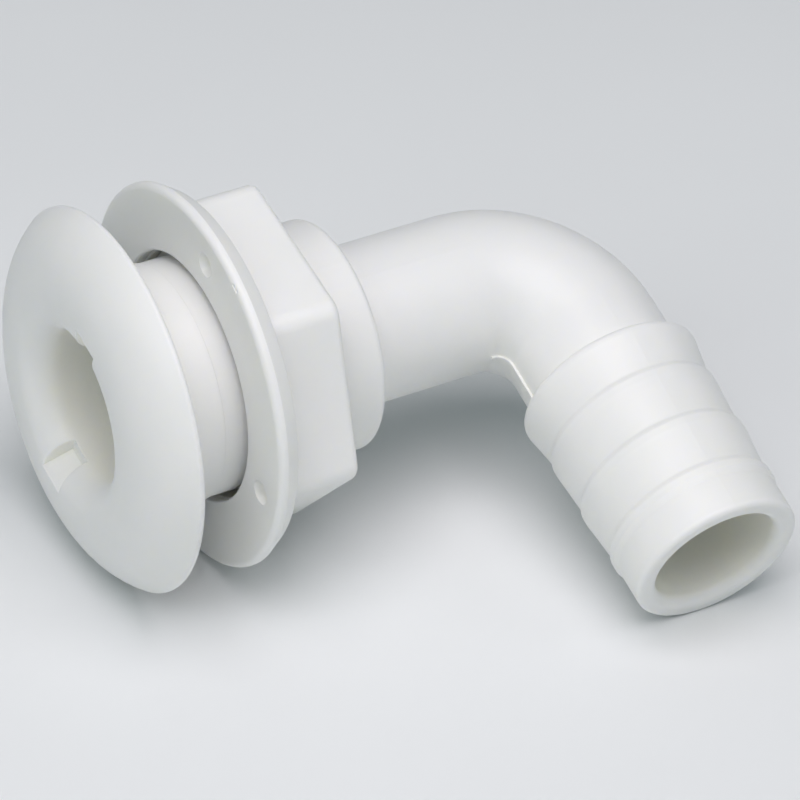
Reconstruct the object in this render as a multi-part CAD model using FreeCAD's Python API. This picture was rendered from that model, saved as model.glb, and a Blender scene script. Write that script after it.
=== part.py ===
import FreeCAD, Part
import math
import os
from FreeCAD import Vector

# Ninety-degree thru hull fitting for a 28.6 mm (1-1/8 in) hose. Millimetres.
# It comes apart into two mouldings: the fitting body, which is flange, neck, threaded stem,
# elbow and hose tail in one, and the flanged nut that clamps the hull against the flange. The nut
# comes on over the tail, round the elbow and over the stem's plain end.
# The stem lies along +X, from the flange's flat back face at x = 0 to the elbow, and +Z is up.
# The tail dips towards -Z just far enough that its end is level with the lowest points of the
# flange and of the nut. That is only how the fitting is drawn: set down like this it would tip.

# Flange
FLANGE_R = 33.0          # edge of the flange, and of the nut's disc
DOME_HEIGHT = 8.25       # crest of the dome, out from the back face
CREST_OUTER_R = 19.8     # the crest is a narrow flat ring between these two radii
CREST_INNER_R = 18.15
EDGE_ROUND = 0.7

# Water passage
BORE_R = 12.9            # through the flange and most of the stem
PASSAGE_R = 11.0         # through the elbow and the tail
BORE_END = 33.0          # where the bore begins to narrow
NARROW_END = 39.0

# Two key slots in the mouth of the bore, for the tool that holds the fitting from outside
SLOT_INNER_WIDTH = 4.6
SLOT_OUTER_WIDTH = 6.2
SLOT_INNER_X = -3.5
SLOT_INNER_R = 15.2      # floor of the slot at its inner end, and at the crest of the dome
SLOT_OUTER_R = 19.0
SLOT_EDGE_ROUND = 0.35

# Neck and threaded stem
NECK_R = 20.3            # stands in the hull's hole, which the thread has to pass through
NECK_LENGTH = 10.4
NECK_ROUND = 0.15
SHANK_R = 20.1           # between the neck and the thread
SHANK_END = 15.6
SHANK_SLOPE = 0.4        # the length in which it narrows to the stem
STEM_R = 19.85           # at the thread's root, and at the plain end
STEM_END = 40.8
STEM_ROUND = 1.2
THREAD_CREST_R = 21.2
THREAD_PITCH = 3.0
THREAD_START = 17.0
THREAD_END = 30.0
RIDGE_FOOT = 2.16        # width of the thread's ridge at its root and at its crest
RIDGE_TOP = 0.84
RIDGE_SINK = 0.3         # the ridge is sunk this far into the core that it is joined to

# Elbow and hose tail
TUBE_R = 13.65
ELBOW_X = 81.0           # where the stem's axis meets the tail's axis
BEND_R = 16.5            # of the tube's centre line
TAIL_END = 63.8          # along the tail's axis, from the stem's axis
TAIL_TIP_R = 14.8        # the plain end that the hose is started on
TIP_PLAIN = 5.8
TIP_ROUND = 1.0
MOUTH_ROUND = 1.8        # on the inside of the tail's end
BARBS = [(25.0, 16.1), (34.2, 15.45), (44.5, 15.4), (54.4, 15.2)]   # place and radius of crests
BARB_STEP = 0.5          # the rise to each crest after the first, and the length that it takes
BARB_RUN = 0.9
BARB_LAND = 1.4
CREST_ROUND = 1.0
FOOT_ROUND = 0.8

# Moulding seam on the inside of the bend
SEAM_WIDTH = 0.6
SEAM_HEIGHT = 0.4

# Flanged nut: disc and hexagon in one piece
NUT_X = 13.6             # front of the disc, so the gap to the flange
DISC_ROUND = 1.1         # on the front edge
DISC_LAND = 1.5          # the disc's edge is straight for this much, then slopes in to its back
DISC_EDGE_X = 18.0
DISC_BACK_R = 31.1
HEX_FLATS = 51.5
HEX_ROUND = 3.3
HEX_END = 31.0
HEX_EDGE_ROUND = 1.3     # all round the back face
LEAD_R = 21.5            # the nut's thread starts behind a short plain lead
LEAD_ROUND = 0.4
LEAD_DEPTH = 2.0
NUT_BORE_R = THREAD_CREST_R + 0.06
NUT_GROOVE_R = 22.5
NUT_CHAMFER = 0.9        # on the back end of the nut's bore
NUT_TURN = -5.4          # how far a corner of the hexagon stands off the elbow's plane, degrees
DIMPLE_COUNT = 4
DIMPLE_RING_R = 27.1
DIMPLE_SPHERE_R = 2.3
DIMPLE_DEPTH = 1.4
SCAR_TURN = -73.4        # where the moulding gate was broken off the disc's edge, degrees
SCAR_WIDTH = 1.6
SCAR_DEPTH = 0.22

ALONG_X = Vector(1, 0, 0)


def corner_arc(before, corner, after, radius):
    """The arc of this radius that is tangent to both sides of a corner."""
    to_before = (before - corner).normalize()
    to_after = (after - corner).normalize()
    half_angle = to_before.getAngle(to_after) / 2
    reach = radius / math.tan(half_angle)
    towards_centre = (to_before + to_after).normalize()
    centre = corner + towards_centre * (radius / math.sin(half_angle))
    start = corner + to_before * reach
    end = corner + to_after * reach
    return Part.Arc(start, centre - towards_centre * radius, end).toShape(), start, end


def rounded_face(corners):
    """A flat face from (x, radius, rounding) corners, in the XZ plane."""
    points = [Vector(x, 0, r) for x, r, _ in corners]
    edges = []
    ends = []
    for i, (x, r, rounding) in enumerate(corners):
        if rounding == 0:
            ends.append((points[i], points[i]))
            continue
        after = points[(i + 1) % len(points)]
        arc, start, end = corner_arc(points[i - 1], points[i], after, rounding)
        edges.append(arc)
        ends.append((start, end))
    for i, (_, end) in enumerate(ends):
        start = ends[(i + 1) % len(ends)][0]
        edges.append(Part.makeLine(end, start))
    return Part.Face(Part.Wire(Part.__sortEdges__(edges)))


def turned(corners):
    """A solid turned about the X axis from (x, radius, rounding) corners."""
    return rounded_face(corners).revolve(Vector(), ALONG_X, 360)


def on_tail(shape):
    """Move a solid made along +X from the origin onto the tail's axis."""
    shape.rotate(Vector(), Vector(0, 0, 1), -90)
    shape.translate(Vector(ELBOW_X, 0, 0))
    return shape


def bend(radius):
    """A quarter of a ring that joins the stem's direction to the tail's."""
    ring = Part.makeTorus(BEND_R, radius)
    quarter = Part.makeBox(BEND_R * 3, BEND_R * 3, BEND_R * 3, Vector(0, 0, -BEND_R * 1.5))
    ring = ring.common(quarter)
    ring.translate(Vector(ELBOW_X - BEND_R, -BEND_R, 0))
    return ring


def thread_ridge(start, end, root_r, crest_r):
    """A helical ridge along +X, trapezium in section, from root_r out to crest_r."""
    helix = Part.makeHelix(THREAD_PITCH, end - start, root_r)
    section = Part.makePolygon([
        Vector(root_r, 0, -RIDGE_FOOT / 2), Vector(crest_r, 0, -RIDGE_TOP / 2),
        Vector(crest_r, 0, RIDGE_TOP / 2), Vector(root_r, 0, RIDGE_FOOT / 2),
        Vector(root_r, 0, -RIDGE_FOOT / 2)])
    ridge = Part.Wire(helix).makePipeShell([section], True, True)
    ridge.rotate(Vector(), Vector(0, 1, 0), 90)
    ridge.translate(Vector(start, 0, 0))
    return ridge


def arc_about(centre, radius, start, end):
    """The short arc from one point to another about a centre, in the XZ plane."""
    middle = centre + ((start + end) / 2 - centre).normalize() * radius
    return Part.Arc(start, middle, end).toShape()


def dome():
    """The mushroom flange: a dome that runs tangent into the crest and into the rounded edge."""
    width = FLANGE_R - EDGE_ROUND - CREST_OUTER_R
    height = DOME_HEIGHT - EDGE_ROUND
    dome_r = (height ** 2 + width ** 2 - EDGE_ROUND ** 2) / (2 * (height - EDGE_ROUND))
    dome_centre = Vector(dome_r - DOME_HEIGHT, 0, CREST_OUTER_R)
    edge_centre = Vector(-EDGE_ROUND, 0, FLANGE_R - EDGE_ROUND)
    join = dome_centre + (edge_centre - dome_centre).normalize() * dome_r
    back_edge = Vector(0, 0, FLANGE_R - EDGE_ROUND)
    crest = Vector(-DOME_HEIGHT, 0, CREST_OUTER_R)
    crest_foot = Vector(-DOME_HEIGHT, 0, 0)
    edges = [Part.makeLine(Vector(), back_edge),
             arc_about(edge_centre, EDGE_ROUND, back_edge, join),
             arc_about(dome_centre, dome_r, join, crest),
             Part.makeLine(crest, crest_foot),
             Part.makeLine(crest_foot, Vector())]
    return Part.Face(Part.Wire(edges)).revolve(Vector(), ALONG_X, 360)


def stem():
    """Neck, thread, plain end and the straight tube as far as the bend."""
    core = turned([
        (-1, 0, 0), (-1, NECK_R, 0), (NECK_LENGTH, NECK_R, NECK_ROUND), (NECK_LENGTH, SHANK_R, 0),
        (SHANK_END, SHANK_R, 0), (SHANK_END + SHANK_SLOPE, STEM_R, 0),
        (STEM_END, STEM_R, STEM_ROUND), (STEM_END, TUBE_R, STEM_ROUND),
        (ELBOW_X - BEND_R, TUBE_R, 0), (ELBOW_X - BEND_R, 0, 0)])
    return core.fuse(thread_ridge(THREAD_START, THREAD_END, STEM_R - RIDGE_SINK, THREAD_CREST_R))


def tail():
    """Hose tail with barbs that face the elbow, and a plain rounded tip."""
    corners = [(BEND_R, 0, 0), (BEND_R, TUBE_R, 0), (BARBS[0][0], TUBE_R, 0)]
    for i, (place, crest_r) in enumerate(BARBS):
        if i > 0:
            corners.append((place - BARB_RUN, crest_r - BARB_STEP, FOOT_ROUND))
        corners.append((place, crest_r, CREST_ROUND))
        corners.append((place + BARB_LAND, crest_r, 0))
    corners += [(TAIL_END - TIP_PLAIN - TIP_ROUND, TAIL_TIP_R, 0),
                (TAIL_END, TAIL_TIP_R, TIP_ROUND), (TAIL_END, 0, 0)]
    return on_tail(turned(corners))


def flared_mouth(bore_r, rounding):
    """The space in the rounded mouth of a bore that ends at x = 0 and opens towards +X."""
    wall = Vector(-rounding, 0, bore_r)
    lip = Vector(0, 0, bore_r + rounding)
    lip_centre = Vector(-rounding, 0, bore_r + rounding)
    corners = [lip, Vector(1, 0, bore_r + rounding), Vector(1, 0, 0), Vector(-rounding, 0, 0), wall]
    edges = [arc_about(lip_centre, rounding, wall, lip)]
    edges += [Part.makeLine(a, b) for a, b in zip(corners, corners[1:])]
    return Part.Face(Part.Wire(edges)).revolve(Vector(), ALONG_X, 360)


def front_mouth(x, bore_r, rounding):
    """The same for a bore that ends at x and opens towards -X."""
    mouth = flared_mouth(bore_r, rounding)
    mouth.rotate(Vector(), Vector(0, 0, 1), 180)
    mouth.translate(Vector(x, 0, 0))
    return mouth


def passage():
    """The space that the water runs through, from the flared mouth to the tail's end."""
    flare = CREST_INNER_R - BORE_R
    inlet_mouth = front_mouth(-DOME_HEIGHT, BORE_R, flare)
    inlet = turned([
        (flare - DOME_HEIGHT, 0, 0), (flare - DOME_HEIGHT, BORE_R, 0), (BORE_END, BORE_R, 0),
        (NARROW_END, PASSAGE_R, 0), (ELBOW_X - BEND_R, PASSAGE_R, 0), (ELBOW_X - BEND_R, 0, 0)])
    outlet = Part.makeCylinder(PASSAGE_R, TAIL_END - MOUTH_ROUND - BEND_R, Vector(BEND_R, 0, 0),
                               ALONG_X)
    outlet_mouth = flared_mouth(PASSAGE_R, MOUTH_ROUND)
    outlet_mouth.translate(Vector(TAIL_END, 0, 0))
    return inlet_mouth.fuse([inlet, bend(PASSAGE_R), on_tail(outlet), on_tail(outlet_mouth)])


def key_slot():
    """A slot in the mouth of the bore whose floor slopes down into it."""
    def frame(x, width, top):
        return Part.makePolygon([
            Vector(x, -width / 2, BORE_R / 2), Vector(x, width / 2, BORE_R / 2),
            Vector(x, width / 2, top), Vector(x, -width / 2, top),
            Vector(x, -width / 2, BORE_R / 2)])
    inner = frame(SLOT_INNER_X, SLOT_INNER_WIDTH, SLOT_INNER_R)
    outer = frame(-DOME_HEIGHT - 0.5, SLOT_OUTER_WIDTH, SLOT_OUTER_R)
    return Part.makeLoft([inner, outer], True, True)


def slot_edges(solid):
    """The four edges where the slots' side walls meet the flared mouth of the bore."""
    def is_one(box):
        narrow = max(abs(box.YMin), abs(box.YMax)) < SLOT_OUTER_WIDTH / 2
        meets_bore = min(abs(box.ZMin), abs(box.ZMax)) < BORE_R
        return narrow and meets_bore and box.XMax < SLOT_INNER_X + 0.01 and box.XLength > 2
    return [edge for edge in solid.Edges if is_one(edge.BoundBox)]


def seam():
    """The raised moulding seam round the inside of the bend and on to the first barb."""
    inner_r = BEND_R - TUBE_R
    crest_r = inner_r - SEAM_HEIGHT
    run = BARBS[0][0] - BEND_R
    ring = Part.makeCylinder(inner_r + 1, SEAM_WIDTH).cut(Part.makeCylinder(crest_r, SEAM_WIDTH))
    ring = ring.common(Part.makeBox(BEND_R, BEND_R, SEAM_WIDTH))
    along_tail = Part.makeBox(1 + SEAM_HEIGHT, run, SEAM_WIDTH, Vector(crest_r, -run, 0))
    ridge = ring.fuse(along_tail)
    ridge.translate(Vector(ELBOW_X - BEND_R, -BEND_R, -SEAM_WIDTH / 2))
    return ridge


def fitting_body():
    """The one-piece moulding, with the tail along -Y before it is turned to dip."""
    solid = dome().fuse([stem(), bend(TUBE_R), tail(), seam()])
    slot = key_slot()
    opposite = slot.copy()
    opposite.rotate(Vector(), ALONG_X, 180)
    solid = solid.cut(passage().fuse([slot, opposite])).removeSplitter()
    return solid.makeFillet(SLOT_EDGE_ROUND, slot_edges(solid))


def hexagon():
    """Hexagonal prism with rounded corners and a rounded back edge, one corner along -Y."""
    corner_r = HEX_FLATS / 2 / math.cos(math.pi / 6)
    corners = [Vector(DISC_EDGE_X - 1, -corner_r * math.cos(k * math.pi / 3),
                      corner_r * math.sin(k * math.pi / 3)) for k in range(6)]
    arcs = [corner_arc(corners[k - 1], corners[k], corners[(k + 1) % 6], HEX_ROUND)
            for k in range(6)]
    edges = []
    for k, (arc, _, end) in enumerate(arcs):
        edges.append(arc)
        edges.append(Part.makeLine(end, arcs[(k + 1) % 6][1]))
    prism = Part.Face(Part.Wire(edges)).extrude(Vector(HEX_END - DISC_EDGE_X + 1, 0, 0))
    back_edges = [edge for edge in prism.Edges if edge.BoundBox.XMin > HEX_END - 0.01]
    return prism.makeFillet(HEX_EDGE_ROUND, back_edges)


def dimples():
    """Small round pin marks in the front of the disc, in line with corners and flats."""
    marks = []
    for k in range(DIMPLE_COUNT):
        mark = Part.makeSphere(DIMPLE_SPHERE_R)
        mark.translate(Vector(NUT_X - DIMPLE_SPHERE_R + DIMPLE_DEPTH, -DIMPLE_RING_R, 0))
        mark.rotate(Vector(), ALONG_X, 360 / DIMPLE_COUNT * k)
        marks.append(mark)
    return marks


def gate_scar():
    """A nick in the front edge of the disc where the moulding gate was broken off."""
    nick = Part.makeBox(SCAR_DEPTH * 2, 3, SCAR_WIDTH,
                        Vector(NUT_X - SCAR_DEPTH, -FLANGE_R - 2, -SCAR_WIDTH / 2))
    nick.rotate(Vector(), ALONG_X, SCAR_TURN)
    return nick


def flanged_nut():
    """Disc and hexagon, threaded right through."""
    disc = turned([
        (NUT_X, 0, 0), (NUT_X, FLANGE_R, DISC_ROUND), (NUT_X + DISC_LAND, FLANGE_R, 0),
        (DISC_EDGE_X, DISC_BACK_R, EDGE_ROUND), (DISC_EDGE_X, 0, 0)])
    thread_x = NUT_X + LEAD_DEPTH
    hollow = turned([
        (NUT_X - 1, 0, 0), (NUT_X - 1, LEAD_R, 0), (thread_x, LEAD_R, 0),
        (thread_x + LEAD_R - NUT_BORE_R, NUT_BORE_R, 0), (HEX_END - NUT_CHAMFER, NUT_BORE_R, 0),
        (HEX_END + 1, NUT_BORE_R + NUT_CHAMFER + 1, 0), (HEX_END + 1, 0, 0)])
    hollow = hollow.fuse(front_mouth(NUT_X, LEAD_R, LEAD_ROUND))
    groove = thread_ridge(thread_x + RIDGE_FOOT, HEX_END + THREAD_PITCH, NUT_BORE_R - RIDGE_SINK,
                          NUT_GROOVE_R)
    solid = disc.fuse(hexagon())
    return solid.cut(hollow).cut(groove).cut(dimples() + [gate_scar()]).removeSplitter()


def tail_dip():
    """The angle, in degrees, by which the tail points down when its lowest point is level with
    the flange's and the nut's."""
    along = TAIL_END - TIP_ROUND
    across = TAIL_TIP_R - TIP_ROUND
    drop = FLANGE_R - TIP_ROUND
    reach = math.hypot(along, across)
    return math.degrees(math.asin(drop / reach) - math.atan2(across, along))


def main():
    dip = tail_dip()
    nodes = {"fitting_body": (fitting_body(), dip), "flanged_nut": (flanged_nut(), dip + NUT_TURN)}
    os.makedirs("parts", exist_ok=True)
    print("tail dip", dip)
    for name, (shape, turn) in nodes.items():
        shape.rotate(Vector(), ALONG_X, turn)
        solid = shape.Solids[0]
        print(name, len(shape.Solids), solid.isValid(), round(solid.Volume))
        solid.exportStep("parts/" + name + ".step")


main()
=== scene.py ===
import bpy
import math
from mathutils import Matrix, Vector


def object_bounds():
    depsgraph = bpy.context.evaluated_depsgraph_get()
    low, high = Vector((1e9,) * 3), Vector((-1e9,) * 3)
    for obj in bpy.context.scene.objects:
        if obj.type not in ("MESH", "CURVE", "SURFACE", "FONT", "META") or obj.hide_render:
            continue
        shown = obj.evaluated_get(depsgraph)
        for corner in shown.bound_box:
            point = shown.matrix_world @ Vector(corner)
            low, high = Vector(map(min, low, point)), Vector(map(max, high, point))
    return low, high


# A white plastic thru hull fitting on a pale floor. Metres, in the CAD frame: the stem lies along
# +X, the tail points along -Y and a little down, and +Z is up.
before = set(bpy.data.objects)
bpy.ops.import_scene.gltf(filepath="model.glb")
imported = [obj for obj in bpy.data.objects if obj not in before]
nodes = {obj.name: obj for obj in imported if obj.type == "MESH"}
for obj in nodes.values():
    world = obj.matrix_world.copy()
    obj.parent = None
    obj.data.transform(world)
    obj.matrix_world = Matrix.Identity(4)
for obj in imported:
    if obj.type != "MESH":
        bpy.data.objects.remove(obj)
cad_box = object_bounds()

# Camera: a long lens from the flange's side, looking down, turned a little about its own axis
CAMERA_AZIMUTH = -31.03
CAMERA_ELEVATION = 37.35
CAMERA_ROLL = 2.93
CAMERA_DISTANCE = 1.236
CAMERA_LENS = 339.07
CAMERA_CLIP = (0.05, 20)
AIM_OFFSET = Vector((-0.0033, -0.0072, 0.0018))   # from the middle of the fitting's box

MILLIMETRE = 0.001

# Plastic: its colour in the open drifts between two whites. Where it is enclosed it is painted
# warmer and paler, a painted light that stands in for light passing through the wall
WHITE = (0.845, 0.855, 0.835)
WHITE_FAR = (0.865, 0.87, 0.855)
ENCLOSED_PAINTED_LIGHT = (0.985, 0.975, 0.885)
PLASTIC_ROUGHNESS = 0.42
PAINTED_LIGHT_REACH = 45 * MILLIMETRE
PAINTED_LIGHT_RANGE = (0.2, 0.75)       # fully painted warm light below, plain white above

FLOOR_HALF = 3.0
FLOOR_GREY = (0.81, 0.83, 0.83)
FLOOR_GREY_FAR = (0.83, 0.85, 0.85)

# Lights: name, direction from the fitting, distance, size, watts, colour
LIGHTS = (
    ("overhead", (-0.16, -0.28, 0.95), 0.9, 0.8, 6.9, (1.0, 0.94, 0.97)),
    ("front", (-1.0, -0.3, 0.75), 1.0, 0.4, 1.2, (0.96, 1.0, 1.0)),
    ("side", (0.75, -0.5, 0.65), 1.1, 0.5, 0.9, (0.97, 0.98, 1.0)),
)
WORLD_COLOUR = (0.80, 0.96, 1.0)
WORLD_STRENGTH = 0.2
GAMMA = 0.94


def node_tree(material):
    """The material's node tree, emptied."""
    material.use_nodes = True
    tree = material.node_tree
    tree.nodes.clear()
    return tree


def add(tree, kind, **inputs):
    """A shader node with its inputs set by name, a space being written as an underscore."""
    node = tree.nodes.new(kind)
    for name, value in inputs.items():
        node.inputs[name.replace("_", " ")].default_value = value
    return node


def ramp(tree, source, low, high, start=0.3, end=0.7):
    """Maps a 0 to 1 value onto two colours or two greys."""
    node = tree.nodes.new("ShaderNodeValToRGB")
    node.color_ramp.elements[0].position = start
    node.color_ramp.elements[1].position = end
    for element, value in zip(node.color_ramp.elements, (low, high)):
        element.color = (*value, 1) if hasattr(value, "__len__") else (value, value, value, 1)
    tree.links.new(source, node.inputs["Fac"])
    return node.outputs["Color"]


def bump(tree, height, distance, strength, normal=None):
    """A normal bumped by a height, on top of another normal where one is given."""
    node = add(tree, "ShaderNodeBump", Strength=strength, Distance=distance)
    tree.links.new(height, node.inputs["Height"])
    if normal is not None:
        tree.links.new(normal, node.inputs["Normal"])
    return node.outputs["Normal"]


def moulded_plastic(name, seed):
    """White moulded plastic: a faint swirl of colour, a fine matt grain and a slight waviness.
    Enclosed places are painted warmer and paler: painted light that stands in for light passing
    through the wall."""
    material = bpy.data.materials.new(name)
    tree = node_tree(material)
    link = tree.links.new
    place = add(tree, "ShaderNodeMapping", Location=(seed, seed * 0.37, seed * 0.71))
    link(tree.nodes.new("ShaderNodeTexCoord").outputs["Object"], place.inputs["Vector"])

    def noise(scale, detail=4.0, distortion=0.0):
        node = add(tree, "ShaderNodeTexNoise", Scale=scale, Detail=detail, Distortion=distortion)
        link(place.outputs["Vector"], node.inputs["Vector"])
        return node.outputs["Fac"]

    shader = add(tree, "ShaderNodeBsdfPrincipled", IOR=1.49, Subsurface_Weight=0.55,
                 Subsurface_Radius=(1.0, 0.95, 0.75), Subsurface_Scale=3.0 * MILLIMETRE,
                 Specular_IOR_Level=0.45)
    # Painted light: the more enclosed a place, the more its base colour is pushed to a warmer,
    # paler white
    painted_light_occlusion = add(tree, "ShaderNodeAmbientOcclusion", Distance=PAINTED_LIGHT_REACH)
    painted_light_occlusion.only_local = True
    painted_light_occlusion.samples = 8
    painted_light_blend = tree.nodes.new("ShaderNodeMix")
    painted_light_blend.data_type = "RGBA"
    link(ramp(tree, painted_light_occlusion.outputs["AO"], 0.0, 1.0, *PAINTED_LIGHT_RANGE), painted_light_blend.inputs["Factor"])
    painted_light_blend.inputs["A"].default_value = (*ENCLOSED_PAINTED_LIGHT, 1)
    swirl = ramp(tree, noise(38, 3, 1.2), WHITE, WHITE_FAR)
    link(swirl, painted_light_blend.inputs["B"])
    link(painted_light_blend.outputs["Result"], shader.inputs["Base Color"])
    mottle = ramp(tree, noise(120, 5), PLASTIC_ROUGHNESS - 0.05, PLASTIC_ROUGHNESS + 0.06)
    link(mottle, shader.inputs["Roughness"])
    wavy = bump(tree, noise(70, 2), distance=0.35 * MILLIMETRE, strength=0.25)
    grain = bump(tree, noise(2600, 3), distance=0.03 * MILLIMETRE, strength=0.3, normal=wavy)
    link(grain, shader.inputs["Normal"])
    output = tree.nodes.new("ShaderNodeOutputMaterial")
    link(shader.outputs["BSDF"], output.inputs["Surface"])
    return material


def dress(name, material):
    """Give a CAD node its finish."""
    mesh = nodes[name].data
    mesh.materials.clear()
    mesh.materials.append(material)


def floor():
    """A plain floor level with the lowest point of the fitting."""
    low, high = cad_box
    centre = (low + high) / 2
    mesh = bpy.data.meshes.new("floor")
    half = FLOOR_HALF
    corners = [(-half, -half, 0), (half, -half, 0), (half, half, 0), (-half, half, 0)]
    mesh.from_pydata(corners, [], [(0, 1, 2, 3)])
    obj = bpy.data.objects.new("floor", mesh)
    obj.location = (centre.x, centre.y, low.z)
    bpy.context.scene.collection.objects.link(obj)
    material = bpy.data.materials.new("pale_table")
    tree = node_tree(material)
    shader = add(tree, "ShaderNodeBsdfPrincipled", Roughness=0.75)
    coordinates = tree.nodes.new("ShaderNodeTexCoord")
    noise = add(tree, "ShaderNodeTexNoise", Scale=9.0, Detail=3.0)
    tree.links.new(coordinates.outputs["Object"], noise.inputs["Vector"])
    grey = ramp(tree, noise.outputs["Fac"], FLOOR_GREY, FLOOR_GREY_FAR)
    tree.links.new(grey, shader.inputs["Base Color"])
    output = tree.nodes.new("ShaderNodeOutputMaterial")
    tree.links.new(shader.outputs["BSDF"], output.inputs["Surface"])
    mesh.materials.append(material)


def area_light(name, direction, distance, size, power, colour):
    """A square light that faces the middle of the fitting from a direction."""
    centre = (cad_box[0] + cad_box[1]) / 2
    data = bpy.data.lights.new(name, "AREA")
    data.size = size
    data.energy = power
    data.color = colour
    obj = bpy.data.objects.new(name, data)
    away = Vector(direction).normalized()
    obj.location = centre + away * distance
    obj.rotation_mode = "QUATERNION"
    obj.rotation_quaternion = away.to_track_quat("Z", "Y")
    bpy.context.scene.collection.objects.link(obj)


def lights():
    """A large soft light overhead, a front light that reaches into the bore, and a side fill."""
    for light in LIGHTS:
        area_light(*light)
    world = bpy.data.worlds.new("studio")
    world.use_nodes = True
    background = world.node_tree.nodes["Background"]
    background.inputs["Color"].default_value = (*WORLD_COLOUR, 1)
    background.inputs["Strength"].default_value = WORLD_STRENGTH
    bpy.context.scene.world = world


def camera():
    """A camera that faces a point near the middle of the fitting, then rolls about its axis."""
    data = bpy.data.cameras.new("camera")
    data.lens = CAMERA_LENS
    data.clip_start, data.clip_end = CAMERA_CLIP
    obj = bpy.data.objects.new("camera", data)
    turn = math.radians(CAMERA_AZIMUTH)
    rise = math.radians(CAMERA_ELEVATION)
    back = Vector((math.sin(turn) * math.cos(rise), -math.cos(turn) * math.cos(rise),
                   math.sin(rise)))
    aim = (cad_box[0] + cad_box[1]) / 2 + AIM_OFFSET
    upright = back.to_track_quat("Z", "Y").to_matrix()
    rolled = upright @ Matrix.Rotation(math.radians(CAMERA_ROLL), 3, "Z")
    obj.matrix_world = Matrix.Translation(aim + back * CAMERA_DISTANCE) @ rolled.to_4x4()
    bpy.context.scene.collection.objects.link(obj)
    bpy.context.scene.camera = obj


dress("fitting_body", moulded_plastic("body_plastic", 0.0))
dress("flanged_nut", moulded_plastic("nut_plastic", 5.0))
floor()
lights()
camera()
bpy.context.scene.view_settings.view_transform = "Standard"
bpy.context.scene.view_settings.gamma = GAMMA
